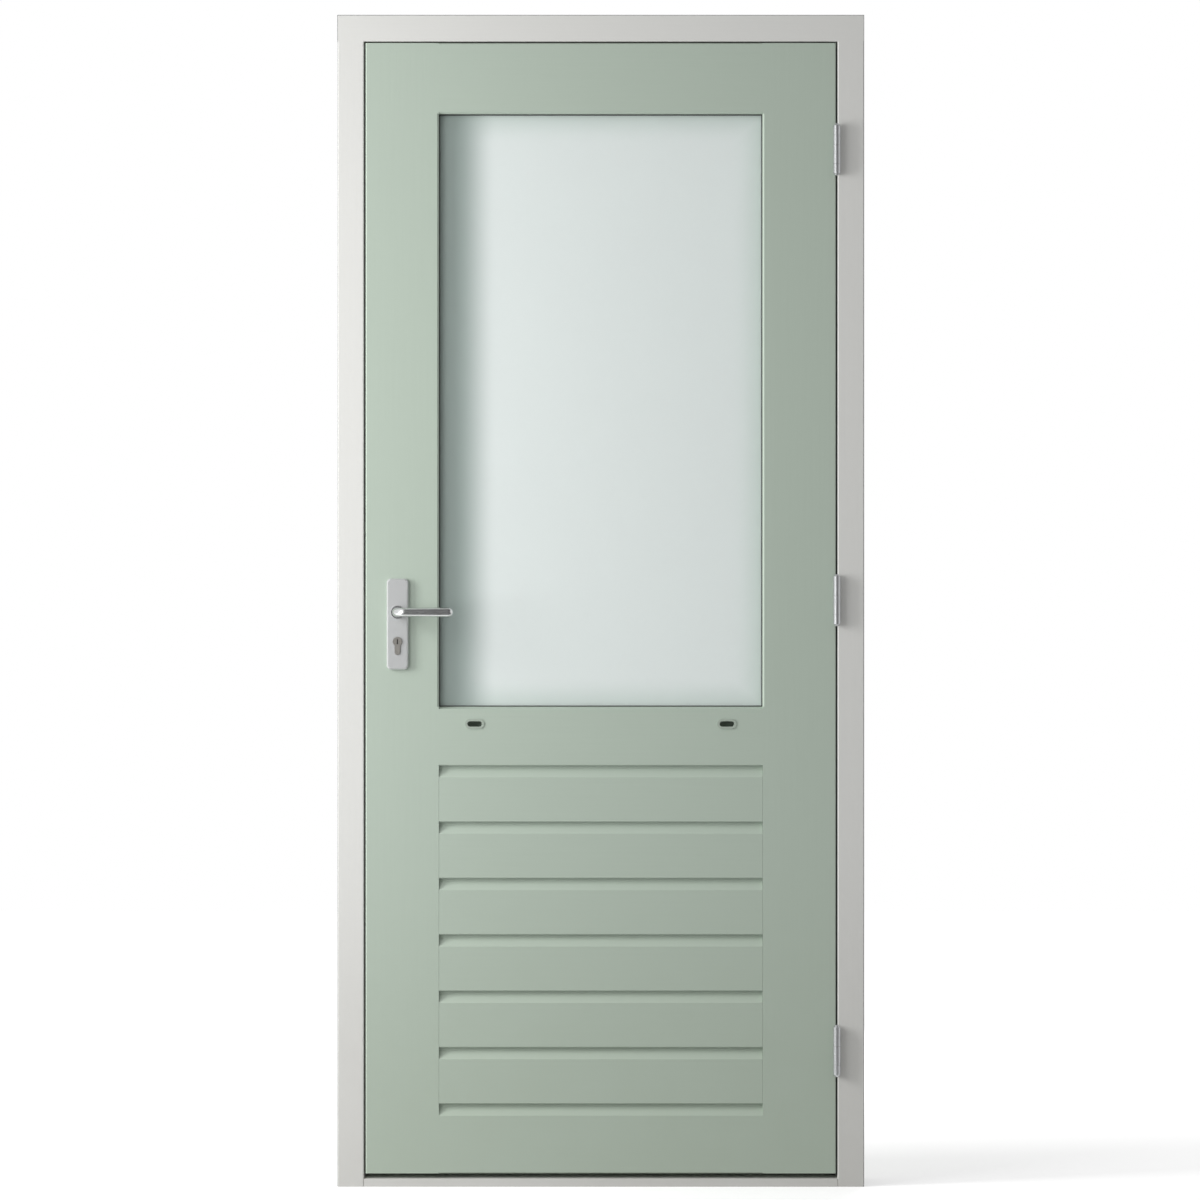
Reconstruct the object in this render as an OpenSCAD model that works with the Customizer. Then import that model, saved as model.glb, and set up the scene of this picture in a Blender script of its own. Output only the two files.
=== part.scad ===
// Half-glazed outside door with shiplap boards below, hung in its rebated timber frame.
// Millimetres. +Z is up, +X is to the right seen from outside, and the outside faces -Y.
// The origin is the middle of the frame's underside.

/* [Leaf] */
// Width of the leaf
leaf_w = 880; // [780:5:980]
// Height of the leaf
leaf_h = 2115; // [2015:5:2315]
// Thickness of the leaf
leaf_t = 54; // [52:1:58]
// Width of each stile
stile_w = 137; // [132:1:160]
// Height of the top rail
top_rail_h = 132; // [110:1:180]
// Height of the glass opening
glass_h = 1110; // [950:5:1150]
// Height of the rail under the glass
mid_rail_h = 113; // [100:1:150]
// Height of the bottom rail
bottom_rail_h = 127; // [100:1:180]
// Flat taken off the long edges of the leaf
arris = 2; // [1:0.5:4]
// Flat taken off the edges beside the pane
sight_arris = 3; // [1:0.5:5]
// Length of the rail tenons
tenon_l = 70; // [40:1:90]
// Thickness of the rail tenons
tenon_t = 14; // [10:1:16]
// Length of wood kept above and below the tenons at the corners
haunch = 25; // [15:1:35]
// Wood kept between a tenon and the nearest rebate
tenon_set = 8; // [5:1:12]

/* [Boards] */
// Number of boards
board_count = 6; // [4:1:8]
// Thickness of a board
board_t = 28; // [26:1:32]
// Height of the open joint between two boards
groove_h = 6; // [4:0.5:10]
// Thickness of the lip that laps over the board below
lap_t = 9; // [6:0.5:11]
// Height of the slope that runs down into each joint
slope_h = 16; // [8:1:24]
// Flat taken off the lower edge of a lip
lip_arris = 1.5; // [1:0.5:3]
// Height of the tongue behind a lip
tongue_h = 12; // [8:1:16]
// Depth of the board ends in the stiles
house_d = 12; // [8:1:16]
// Thickness of the board ends in the stiles
house_t = 12; // [8:1:13]
// Open joint between the board ends and the stiles
end_gap = 0.3; // [0.2:0.1:3]

/* [Glazing] */
// Thickness of the fixed outer lip of the glazing rebate
lip_t = 14; // [12:1:16]
// Depth of the glazing rebate behind the lip
rebate_d = 17; // [15:1:20]
// Thickness of each pane
pane_t = 4; // [3:0.5:5]
// Space between the panes
cavity = 16; // [12:1:16]
// Thickness of each glazing gasket
gasket_t = 3; // [2:0.5:4]
// How far a gasket shows past the lip
gasket_show = 2; // [1:0.5:4]
// Width of a gasket behind the lip
gasket_w = 9; // [6:1:11]
// Room round the panes in the rebate
pane_play = 4; // [3:0.5:5]
// Width of the spacer between the panes
spacer_w = 9; // [6:0.5:9]
// Length of a setting block
block_l = 80; // [50:5:100]
// Distance of a setting block from the pane's side
block_in = 110; // [60:5:140]
// Splay on the inner edge of the beads
bead_splay = 5; // [2:0.5:6]
// Fall of the weathered edge under the pane
weather_fall = 4; // [2:0.5:6]

/* [Vents] */
// Width of the routed vent slot
vent_w = 30; // [18:1:40]
// Height of the routed vent slot
vent_h = 13; // [7:0.5:15]
// Depth of the routed vent slot
vent_d = 30; // [26:1:34]
// Vent centre below the pane
vent_drop = 32; // [30:1:40]
// Vent centre from the stile
vent_in = 67; // [30:1:150]
// Rim of the insert round the slot
vent_rim = 3; // [2:0.5:4]
// Thickness of the insert's rim on the face
vent_rim_t = 1.2; // [0.8:0.1:2]
// Wall of the insert
vent_wall = 1.2; // [1:0.1:1.6]
// Length of the insert in the slot
vent_sleeve = 14; // [8:1:18]

/* [Frame] */
// Depth of the frame
frame_d = 114; // [108:1:140]
// Width of a frame member over its stop
jamb_w = 67; // [60:1:90]
// Width of the stop
stop_w = 17; // [15:1:20]
// Gap between the leaf and the frame at the sides and top
side_gap = 3; // [3:0.5:5]
// Gap between the leaf and the threshold
bottom_gap = 5; // [4:0.5:8]
// Gap between the leaf and the stop, which the seal fills
seal_gap = 3; // [2.5:0.5:4]
// Height of the threshold under the leaf
sill_h = 20; // [15:1:30]
// Fall of the threshold towards the outside
sill_fall = 5; // [2:0.5:8]
// Height of the threshold's stop behind the leaf
sill_lap = 12; // [11:1:16]
// Width of the seal's bulb
seal_w = 8; // [6:0.5:9]
// Width of the seal's stem in the kerf
seal_stem_w = 3; // [2:0.5:4]
// Depth of the seal's stem in the kerf
seal_stem_d = 6; // [4:0.5:8]
// Length of the jamb tenons in the head
jamb_tenon_l = 40; // [20:1:45]
// Thickness of the jamb tenons
jamb_tenon_t = 16; // [10:1:20]
// Radius of the wall fixing holes
fix_r = 5; // [3:0.5:6]
// Wall fixing holes behind the face of the stop
fix_in = 30; // [20:1:40]
// Height of the lower wall fixing
fix_z = 300; // [150:10:400]
// Distance between the two wall fixings of a jamb
fix_pitch = 1500; // [1200:10:1650]

/* [Hinges] */
// Height of a hinge
hinge_h = 89; // [70:1:110]
// Width of a hinge plate on the edge of the leaf
hinge_plate_w = 36; // [32:1:44]
// Thickness of a hinge plate
hinge_plate_t = 2.5; // [2:0.1:3]
// Radius of the knuckle
knuckle_r = 7; // [6:0.1:8]
// Radius of the pin
pin_r = 3.5; // [3:0.1:4]
// Clear space between the knuckle and the face of the leaf
knuckle_clear = 0.5; // [0.5:0.1:2]
// Gap between two knuckles
knuckle_gap = 0.3; // [0.2:0.1:0.6]
// Height of the cap on each end of a pin
pin_cap_h = 4; // [2:0.5:8]
// Centre of the lowest hinge above the leaf's bottom
hinge_low = 230; // [150:5:300]
// Centre of the highest hinge below the leaf's top
hinge_high = 200; // [150:5:300]
// Distance between the screws of a plate along the hinge
hinge_screw_pitch = 21; // [16:0.5:21]
// Distance of the outer screws from the face
hinge_screw_near = 10; // [8:0.5:12]
// Distance of the inner screws from the face
hinge_screw_far = 26; // [22:0.5:27]

/* [Lock] */
// Distance from the leaf's edge to the lever's axis
backset = 60; // [55:1:65]
// Height of the lever's axis above the leaf's bottom
lever_z = 1050; // [1000:5:1100]
// Distance from the lever's axis down to the cylinder's axis
cyl_drop = 55; // [55:1:60]
// Thickness of the forend
forend_t = 3; // [2:0.5:4]
// Width of the forend
forend_w = 24; // [20:1:26]
// How far the forend runs past the case at each end
forend_over = 55; // [40:1:60]
// Depth of the lock case
case_d = 90; // [86:1:94]
// Thickness of the lock case
case_t = 16; // [15:0.5:18]
// Sheet of the lock case
case_wall = 1.5; // [1:0.1:2]
// Case above the lever's axis
case_above = 37; // [35:1:40]
// Case below the cylinder's axis
case_below = 32; // [30:1:34]
// Throw of the latch
latch_throw = 12; // [10:0.5:14]
// Thickness of the latch and of the dead bolt
bolt_t = 11; // [9:0.5:12]
// Height of the latch
latch_h = 22; // [18:0.5:24]
// Centre of the latch above the lever's axis
latch_up = 20; // [19:0.5:21]
// Throw of the dead bolt
bolt_throw = 20; // [15:0.5:22]
// Height of the dead bolt
bolt_h = 20; // [16:0.5:21]
// Room round the bolts where they pass through plates
bolt_play = 0.4; // [0.3:0.1:0.8]
// Radius of the follower's hub
hub_r = 10; // [9:0.5:10.5]
// Side of the square spindle
spindle_w = 8; // [7:0.5:9]
// Thickness of the strike plate
strike_t = 2.5; // [2:0.5:4]
// Width of the strike plate
strike_w = 28; // [26:1:32]
// Room round the bolts in the strike plate
strike_play = 1.5; // [1:0.5:2.5]
// Depth of the bolt pockets in the jamb past the bolts' ends
pocket_play = 4; // [2:0.5:8]

/* [Cylinder] */
// Radius of the cylinder's round part
cyl_r = 8.5; // [8:0.1:9]
// Width of the cylinder's stem
cyl_stem_w = 10; // [9:0.1:10]
// Distance from the cylinder's axis to the round end of its stem
cyl_stem_h = 19.5; // [19:0.1:20.5]
// How far the cylinder stands proud of the backplates
cyl_proud = 2; // [0.5:0.5:4]
// Radius of the plug
plug_r = 6.5; // [6:0.1:6.8]
// Width of the cam
cam_w = 9; // [8:0.5:10]
// Reach of the cam from the cylinder's axis
cam_reach = 14; // [13:0.5:14]
// Width of the keyway
key_w = 2; // [1.5:0.1:2.5]
// Height of the keyway
key_h = 9; // [7:0.5:9.5]
// Depth of the keyway
key_d = 24; // [18:1:30]

/* [Handle] */
// Width of a backplate
plate_w = 40; // [36:1:46]
// Height of a backplate
plate_h = 170; // [165:1:190]
// Backplate above the lever's axis
plate_up = 63; // [60:1:68]
// Thickness of a backplate
plate_t = 8; // [6:0.5:12]
// Bevel of a backplate
plate_bevel = 2.5; // [1:0.5:4]
// Corner radius of a backplate
plate_r = 8; // [5:0.5:12]
// Radius of the lever's neck
neck_r = 8.5; // [8:0.1:9.5]
// Radius of the collar at the foot of the neck
collar_r = 12; // [11:0.5:14]
// Height of the collar
collar_h = 4; // [2:0.5:6]
// Distance from the leaf's face to the middle of the grip
grip_out = 52; // [45:1:60]
// Radius of the bend between neck and grip
bend_r = 16; // [14:0.5:20]
// Length of the lever from its axis to the end
lever_l = 106; // [90:1:125]
// Radius of the grip at its end
grip_r = 9.5; // [8.5:0.1:10.5]
// Distance of the upper bolt above the lever's axis
bolt_up = 46; // [44:0.5:50]
// Distance of the lower bolt below the cylinder's axis
bolt_down = 40; // [38:0.5:44]
// Radius of the backplate bolts
bolt_r = 2.5; // [2:0.1:3]

/* [Hidden] */
$fn = 64;
// Clearance of glued timber joints and let-in pieces
fit = 0.25;
// Clearance of turning pieces in their bores
run_fit = 0.08;
// Clearance beside moving pieces that don't bear on each other
free = 0.3;
// Overshoot of cutting shapes
over = 1;

// Screws
screw_r = 2;
screw_head_r = 4;
screw_head_h = 2;
screw_l = 28;
screw_fit = 0.05;
strike_screw_in = 14;
cyl_screw_r = 2.4;

// Wood kept between the middle tenon and the lock case
lock_over_tenon = 10;

// Lock pieces worked by the follower and the cam
arm_w = 8;
arm_l = 20;
arm_t = 8;
hook_gap = 1;
hook_t = 7;
hook_foot = 14.5;
tail_gap = 1.5;
tail_h = 6;
latch_body_end = 30;
latch_tip = 2;
bolt_body_l = 42;
bolt_tail_l = 40;
bolt_tail_t = 6;
bolt_over_cam = 2.5;
cam_hub_r = 8.2;
cam_lug_w = 7;
cam_room = 1;
spindle_in = 26;
spindle_fit = 0.1;
spindle_hole_r = 12;
turn_r = 12;
turn_collar_h = 6;
turn_l = 22;
turn_w = 26;
turn_t = 9;
vent_riser_w = 14;
vent_riser_t = 10;
drip_in = 12;
drip_w = 6;
jamb_tenon_in = 14;
jamb_tenon_back = 22;

// Planes across the leaf and the frame
y_face = -frame_d / 2;
y_in = frame_d / 2;
y_back = y_face + leaf_t;
y_mid = y_face + leaf_t / 2;
y_stop = y_back + seal_gap;
x_edge = leaf_w / 2;
x_sight = x_edge - stile_w;
x_rebate = x_edge + side_gap;
x_stop = x_rebate - stop_w;
x_out = x_stop + jamb_w;

// Levels from the floor up
z_leaf = sill_h + bottom_gap;
z_top = z_leaf + leaf_h;
z_rebate = z_top + side_gap;
z_stop = z_rebate - stop_w;
z_out = z_stop + jamb_w;
z_panel0 = z_leaf + bottom_rail_h;
z_glass1 = z_top - top_rail_h;
z_glass0 = z_glass1 - glass_h;
z_panel1 = z_glass0 - mid_rail_h;
board_pitch = (z_panel1 - z_panel0) / board_count;

// Joints of the leaf
y_house0 = y_face + lap_t + 3;
y_house1 = y_house0 + house_t;
y_tenon0 = y_mid - tenon_t / 2;
y_tenon1 = y_mid + tenon_t / 2;
tenon_low = [z_leaf + haunch, z_panel0 - tenon_set];
tenon_mid = [z_panel1 + tongue_h + tenon_set, z_glass0 - rebate_d - tenon_set];
tenon_high = [z_glass1 + rebate_d + tenon_set, z_top - haunch];

// Layers of the glazing
y_lip = y_face + lip_t;
y_pane_out = y_lip + gasket_t;
y_cavity = y_pane_out + pane_t;
y_pane_in = y_cavity + cavity;
y_bead_gasket = y_pane_in + pane_t;
y_bead = y_bead_gasket + gasket_t;
x_pane = x_sight + rebate_d - pane_play;
z_pane0 = z_glass0 - rebate_d + pane_play;
z_pane1 = z_glass1 + rebate_d - pane_play;
x_vent = x_sight - vent_in;
z_vent = z_glass0 - vent_drop;

// Weather seal round the stops
x_seal = x_stop + (stop_w - side_gap) / 2;
z_seal0 = z_leaf + sill_lap / 2;
z_seal1 = z_stop + (stop_w - side_gap) / 2;
seal_t = seal_gap - free;

// Hinges
x_pin = x_edge + side_gap / 2;
y_pin = y_face - knuckle_clear - knuckle_r;
hinge_z = [z_leaf + hinge_low, (z_leaf + hinge_low + z_top - hinge_high) / 2, z_top - hinge_high];
knuckle_h = hinge_h / 5;

// Lock and handle
x_axis = -x_edge + backset;
z_axis = max(z_leaf + lever_z, tenon_mid[1] + lock_over_tenon + case_below + cyl_drop);
z_cyl = z_axis - cyl_drop;
x_case0 = -x_edge + forend_t;
x_case1 = x_case0 + case_d;
y_case0 = y_mid - case_t / 2;
y_case1 = y_mid + case_t / 2;
z_case0 = z_cyl - case_below;
z_case1 = z_axis + case_above;
z_forend0 = z_case0 - forend_over;
z_forend1 = z_case1 + forend_over;
z_latch0 = z_axis + latch_up - latch_h / 2;
z_latch1 = z_latch0 + latch_h;
z_tail = z_axis + arm_l + tail_gap;
z_bolt0 = z_cyl + cam_reach + bolt_over_cam;
z_bolt1 = z_bolt0 + bolt_h;
z_cyl_screw = z_cyl - cyl_stem_h - cyl_stem_w / 2 + cyl_screw_r + 1.8;
y_plate_out = y_face - plate_t;
y_plate_in = y_back + plate_t;
y_cyl0 = y_plate_out - cyl_proud;
y_cyl1 = y_plate_in + cyl_proud;
y_grip = y_face - grip_out;
z_plate = z_axis + plate_up - plate_h / 2;
plate_bolt_z = [z_axis + bolt_up, z_cyl - bolt_down];

// Finishes
sage = [0.67, 0.72, 0.67];
frame_white = [0.93, 0.93, 0.91];
steel = [0.72, 0.73, 0.74];
silver = [0.82, 0.83, 0.83];
nickel = [0.70, 0.69, 0.66];
rubber_grey = [0.22, 0.23, 0.23];
satin_glass = [0.86, 0.90, 0.88];
vent_grey = [0.55, 0.58, 0.55];

// A box between two corners
module span(lo, hi) {
    translate(lo) cube(hi - lo);
}

// Outlines drawn in (Y, Z), (X, Z) and (X, Y), run along the third axis
module along_x(x0, x1) {
    translate([x0, 0, 0]) rotate([90, 0, 90]) linear_extrude(x1 - x0) children();
}

module along_y(y0, y1) {
    translate([0, y1, 0]) rotate([90, 0, 0]) linear_extrude(y1 - y0) children();
}

module along_z(z0, z1) {
    translate([0, 0, z0]) linear_extrude(z1 - z0) children();
}

// What a flat of width c takes off a corner at the origin
module flat_off(c) {
    polygon([[-over, -over], [c + over, -over], [-over, c + over]]);
}

// A slot outline with round ends, w over all
module slot_outline(w, h) {
    square([w - h, h], center = true);
    for (s = [-1, 1]) translate([s * (w - h) / 2, 0]) circle(h / 2);
}

// A rectangle with round corners
module round_rect(w, h, r) {
    square([w - 2 * r, h], center = true);
    square([w, h - 2 * r], center = true);
    for (sx = [-1, 1], sy = [-1, 1]) translate([sx * (w / 2 - r), sy * (h / 2 - r)]) circle(r);
}

// A countersunk screw along +X with its head flush at x = 0
module screw(grow = 0) {
    rotate([0, 90, 0]) {
        cylinder(h = screw_head_h, r1 = screw_head_r + grow, r2 = screw_r + grow);
        cylinder(h = screw_l + grow, r = screw_r + grow);
    }
}

// A rectangular ring in the plane of the leaf, between two layers
module ring(x_in, z_in0, z_in1, x_far, z_far0, z_far1, y0, y1) {
    difference() {
        span([-x_far, y0, z_far0], [x_far, y1, z_far1]);
        span([-x_in, y0 - over, z_in0], [x_in, y1 + over, z_in1]);
    }
}

// A piece of the outside repeated on the inside of the leaf
module inside() {
    translate([0, 2 * y_mid, 0]) mirror([0, 1, 0]) children();
}

// The seal's stem, which is also the kerf cut for it
module seal_stem() {
    s = seal_stem_w / 2;
    ring(x_seal - s, z_seal0 + s, z_seal1 - s, x_seal + s, z_seal0 - s, z_seal1 + s,
        y_stop - 0.01, y_stop + seal_stem_d);
}

// Frame
module jamb_tenon(grow) {
    span([x_stop + jamb_tenon_in - grow, y_stop + jamb_tenon_back - grow, z_stop - over],
        [x_out - jamb_tenon_in + grow, y_stop + jamb_tenon_back + jamb_tenon_t + grow,
         z_stop + jamb_tenon_l + grow]);
}

// A right-hand jamb, before its fittings are let in
module jamb_blank() {
    difference() {
        union() {
            along_z(0, z_stop) difference() {
                polygon([[x_rebate, y_face], [x_out, y_face], [x_out, y_in], [x_stop, y_in],
                    [x_stop, y_stop], [x_rebate, y_stop]]);
                translate([x_rebate, y_face]) flat_off(arris);
                translate([x_out, y_face]) mirror([1, 0]) flat_off(arris);
                translate([x_stop, y_in]) mirror([0, 1]) flat_off(arris);
                translate([x_out, y_in]) rotate(180) flat_off(arris);
            }
            along_z(z_stop, z_rebate) difference() {
                translate([x_rebate, y_face]) square([x_out - x_rebate, y_stop - y_face]);
                translate([x_rebate, y_face]) flat_off(arris);
                translate([x_out, y_face]) mirror([1, 0]) flat_off(arris);
            }
            jamb_tenon(0);
        }
        seal_stem();
        for (k = [0, 1]) along_x(x_stop - over, x_out + over)
            translate([y_stop + fix_in, fix_z + k * fix_pitch]) circle(fix_r);
    }
}

module hinge_jamb() {
    color(frame_white) difference() {
        jamb_blank();
        for (z = hinge_z) {
            span([x_rebate - over, y_face - over, z - hinge_h / 2],
                [x_rebate + hinge_plate_t, y_face + hinge_plate_w, z + hinge_h / 2]);
            hinge_screw_set(z) screw(screw_fit);
        }
    }
}

module lock_jamb() {
    color(frame_white) difference() {
        mirror([1, 0, 0]) jamb_blank();
        span([-x_rebate - strike_t, y_mid - strike_w / 2, z_forend0],
            [-x_rebate + over, y_mid + strike_w / 2, z_forend1]);
        strike_openings(-x_edge - latch_throw - pocket_play, -x_edge - bolt_throw - pocket_play);
        strike_screw_set() screw(screw_fit);
    }
}

module head() {
    color(frame_white) difference() {
        along_x(-x_out, x_out) difference() {
            polygon([[y_face, z_rebate], [y_stop, z_rebate], [y_stop, z_stop], [y_in, z_stop],
                [y_in, z_out], [y_face, z_out]]);
            translate([y_face, z_out]) mirror([0, 1]) flat_off(arris);
            translate([y_in, z_out]) rotate(180) flat_off(arris);
        }
        seal_stem();
        for (m = [0, 1]) mirror([m, 0, 0]) jamb_tenon(fit);
    }
}

module threshold() {
    z_lap = z_leaf + sill_lap;
    color(frame_white) difference() {
        union() {
            along_x(-x_rebate, x_rebate)
                polygon([[y_face, 0], [y_stop, 0], [y_stop, sill_h], [y_face, sill_h - sill_fall]]);
            along_x(-x_stop, x_stop) difference() {
                translate([y_stop, 0]) square([y_in - y_stop, z_lap]);
                translate([y_in, z_lap]) rotate(180) flat_off(arris);
            }
        }
        seal_stem();
    }
}

module weather_seal() {
    s = seal_w / 2;
    color(rubber_grey) union() {
        ring(x_seal - s, z_seal0 + s, z_seal1 - s, x_seal + s, z_seal0 - s, z_seal1 + s,
            y_stop - seal_t, y_stop);
        seal_stem();
    }
}

// Openings for the latch and the dead bolt, from the rebate face to the given depths
module strike_openings(x_latch, x_bolt) {
    p = strike_play;
    span([x_latch, y_mid - bolt_t / 2 - p, z_latch0 - p],
        [-x_rebate + over, y_mid + bolt_t / 2 + p, z_latch1 + p]);
    span([x_bolt, y_mid - bolt_t / 2 - p, z_bolt0 - p],
        [-x_rebate + over, y_mid + bolt_t / 2 + p, z_bolt1 + p]);
}

module strike_screw_set() {
    for (z = [z_forend0 + strike_screw_in, z_forend1 - strike_screw_in])
        translate([-x_rebate, y_mid, z]) mirror([1, 0, 0]) children();
}

module strike_plate() {
    color(steel) difference() {
        span([-x_rebate - strike_t, y_mid - strike_w / 2, z_forend0],
            [-x_rebate, y_mid + strike_w / 2, z_forend1]);
        strike_openings(-x_rebate - strike_t - over, -x_rebate - strike_t - over);
        strike_screw_set() screw(screw_fit);
    }
}

module strike_screws() {
    color(steel) strike_screw_set() screw();
}

// Hinges, drawn for the frame side; the leaf side is their mirror image about the pin
module hinge_screw_set(z) {
    for (k = [0:3])
        translate([x_rebate, y_face + (k % 2 == 0 ? hinge_screw_near : hinge_screw_far),
            z + (k - 1.5) * hinge_screw_pitch]) children();
}

module leaf_side() {
    translate([2 * x_pin, 0, 0]) mirror([1, 0, 0]) children();
}

// A plate with the knuckles of the given places, counted from below
module hinge_plate(z, places) {
    z0 = z - hinge_h / 2;
    difference() {
        union() {
            span([x_rebate, y_face, z0], [x_rebate + hinge_plate_t, y_face + hinge_plate_w, z0 + hinge_h]);
            for (k = places) {
                za = z0 + k * knuckle_h + (k == 0 ? 0 : knuckle_gap / 2);
                zb = z0 + (k + 1) * knuckle_h - (k == 4 ? 0 : knuckle_gap / 2);
                along_z(za, zb) translate([x_pin, y_pin]) circle(knuckle_r);
                span([x_rebate, y_pin, za], [x_rebate + hinge_plate_t, y_face + over, zb]);
            }
        }
        along_z(z0 - over, z0 + hinge_h + over) translate([x_pin, y_pin]) circle(pin_r + run_fit);
        hinge_screw_set(z) screw(screw_fit);
    }
}

module frame_hinge_plate(i) {
    color(steel) hinge_plate(hinge_z[i - 1], [0, 2, 4]);
}

module leaf_hinge_plate(i) {
    color(steel) leaf_side() hinge_plate(hinge_z[i - 1], [1, 3]);
}

module hinge_pins() {
    color(steel) for (z = hinge_z) translate([x_pin, y_pin, z]) {
        cylinder(h = hinge_h, r = pin_r, center = true);
        for (m = [0, 1]) mirror([0, 0, m]) translate([0, 0, hinge_h / 2])
            cylinder(h = pin_cap_h, r1 = knuckle_r - 1, r2 = pin_r);
    }
}

module frame_hinge_screws() {
    color(steel) for (z = hinge_z) hinge_screw_set(z) screw();
}

module leaf_hinge_screws() {
    color(steel) leaf_side() for (z = hinge_z) hinge_screw_set(z) screw();
}

// Leaf timbers
// A right-hand stile, before its fittings are let in
module stile_blank() {
    difference() {
        along_z(z_leaf, z_top) difference() {
            translate([x_sight, y_face]) square([stile_w, leaf_t]);
            translate([x_edge, y_face]) mirror([1, 0]) flat_off(arris);
            translate([x_edge, y_back]) rotate(180) flat_off(arris);
        }
        span([x_sight - over, y_lip, z_glass0 - rebate_d],
            [x_sight + rebate_d, y_back + over, z_glass1 + rebate_d]);
        along_z(z_glass0, z_glass1) translate([x_sight, y_face]) flat_off(sight_arris);
        span([x_sight - over, y_house0 - fit, z_panel0],
            [x_sight + house_d + fit, y_house1 + fit, z_panel1 + tongue_h + fit]);
        for (t = [tenon_low, tenon_mid, tenon_high])
            span([x_sight - over, y_tenon0 - fit, t[0] - fit],
                [x_sight + tenon_l + fit, y_tenon1 + fit, t[1] + fit]);
    }
}

module hinge_stile() {
    color(sage) difference() {
        stile_blank();
        leaf_side() for (z = hinge_z) {
            span([x_rebate - over, y_face - over, z - hinge_h / 2],
                [x_rebate + hinge_plate_t, y_face + hinge_plate_w, z + hinge_h / 2]);
            hinge_screw_set(z) screw(screw_fit);
        }
    }
}

module lock_stile() {
    color(sage) difference() {
        mirror([1, 0, 0]) stile_blank();
        span([-x_edge - over, y_case0 - fit, z_case0 - fit], [x_case1 + fit, y_case1 + fit, z_case1 + fit]);
        span([-x_edge - over, y_mid - forend_w / 2, z_forend0],
            [x_case0, y_mid + forend_w / 2, z_forend1]);
        forend_screw_set() screw(screw_fit);
        along_y(y_face - over, y_back + over) {
            translate([x_axis, z_axis]) circle(spindle_hole_r);
            translate([x_axis, z_cyl]) cyl_outline(2 * free);
            for (z = plate_bolt_z) translate([x_axis, z]) circle(bolt_r + free);
        }
    }
}

// A tenon at both ends of a rail, run through the rail as one bar
module tenon_bar(t) {
    span([-x_sight - tenon_l, y_tenon0, t[0]], [x_sight + tenon_l, y_tenon1, t[1]]);
}

module top_rail() {
    color(sage) union() {
        along_x(-x_sight, x_sight) difference() {
            translate([y_face, z_glass1]) square([leaf_t, top_rail_h]);
            translate([y_lip, z_glass1 - over]) square([leaf_t, rebate_d + over]);
            translate([y_face, z_glass1]) flat_off(sight_arris);
            translate([y_face, z_top]) mirror([0, 1]) flat_off(arris);
            translate([y_back, z_top]) rotate(180) flat_off(arris);
        }
        tenon_bar(tenon_high);
    }
}

// The rail laps over the top board, and slopes outward under the pane
module mid_rail() {
    slope = weather_fall / lip_t;
    z_lip = z_panel1 + groove_h / 2;
    color(sage) difference() {
        union() {
            along_x(-x_sight, x_sight) difference() {
                translate([y_face, z_lip]) square([leaf_t, z_glass0 - z_lip]);
                translate([y_face + lap_t - fit, z_panel1 - over])
                    square([board_t - lap_t + 2 * fit, tongue_h + fit + over]);
                translate([y_lip, z_glass0 - rebate_d]) square([leaf_t, rebate_d + over]);
                polygon([[y_face - over, z_glass0 - weather_fall - over * slope],
                    [y_lip + over, z_glass0 + over * slope], [y_face - over, z_glass0 + over * slope]]);
                translate([y_face, z_lip]) flat_off(lip_arris);
            }
            tenon_bar(tenon_mid);
        }
        for (s = [-1, 1]) {
            along_y(y_face - over, y_face + vent_d)
                translate([s * x_vent, z_vent]) slot_outline(vent_w, vent_h);
            span([s * x_vent - vent_riser_w / 2, y_face + vent_d - vent_riser_t, z_vent],
                [s * x_vent + vent_riser_w / 2, y_face + vent_d, z_glass0 - rebate_d + over]);
        }
    }
}

// The rail's top carries the tongue and slope of a board, and a drip is cut under it
module bottom_rail() {
    z_slope = z_panel0 - groove_h / 2;
    color(sage) difference() {
        union() {
            along_x(-x_sight, x_sight) difference() {
                polygon([[y_face, z_leaf], [y_face, z_slope - slope_h], [y_face + lap_t, z_slope],
                    [y_face + lap_t, z_panel0 + tongue_h], [y_face + board_t, z_panel0 + tongue_h],
                    [y_face + board_t, z_panel0], [y_back, z_panel0], [y_back, z_leaf]]);
                translate([y_face, z_leaf]) flat_off(arris);
                translate([y_back, z_leaf]) mirror([1, 0]) flat_off(arris);
            }
            tenon_bar(tenon_low);
        }
        along_x(-x_edge, x_edge) translate([y_face + drip_in, z_leaf - over]) square([drip_w, drip_w + over]);
    }
}

// Section of a board between two joint lines: lip below, slope and tongue above
module board_section(z0, z1) {
    polygon([
        [y_face + lip_arris, z0 + groove_h / 2],
        [y_face, z0 + groove_h / 2 + lip_arris],
        [y_face, z1 - groove_h / 2 - slope_h],
        [y_face + lap_t, z1 - groove_h / 2],
        [y_face + lap_t, z1 + tongue_h],
        [y_face + board_t, z1 + tongue_h],
        [y_face + board_t, z0 + tongue_h + fit],
        [y_face + lap_t - fit, z0 + tongue_h + fit],
        [y_face + lap_t - fit, z0 + groove_h / 2]
    ]);
}

// Boards are counted from the top
module board(i) {
    z1 = z_panel1 - (i - 1) * board_pitch;
    z0 = z1 - board_pitch;
    x_end = x_sight - end_gap;
    x_house = x_sight + house_d;
    color(sage) union() {
        along_x(-x_end, x_end) board_section(z0, z1);
        along_x(-x_house, x_house) intersection() {
            board_section(z0, z1);
            translate([y_house0, z0]) square([house_t, 2 * board_pitch]);
        }
    }
}

// Glazing
module pane(y0) {
    span([-x_pane, y0, z_pane0], [x_pane, y0 + pane_t, z_pane1]);
}

module outer_pane() {
    color(satin_glass) pane(y_pane_out);
}

module inner_pane() {
    color(satin_glass) pane(y_pane_in);
}

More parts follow.
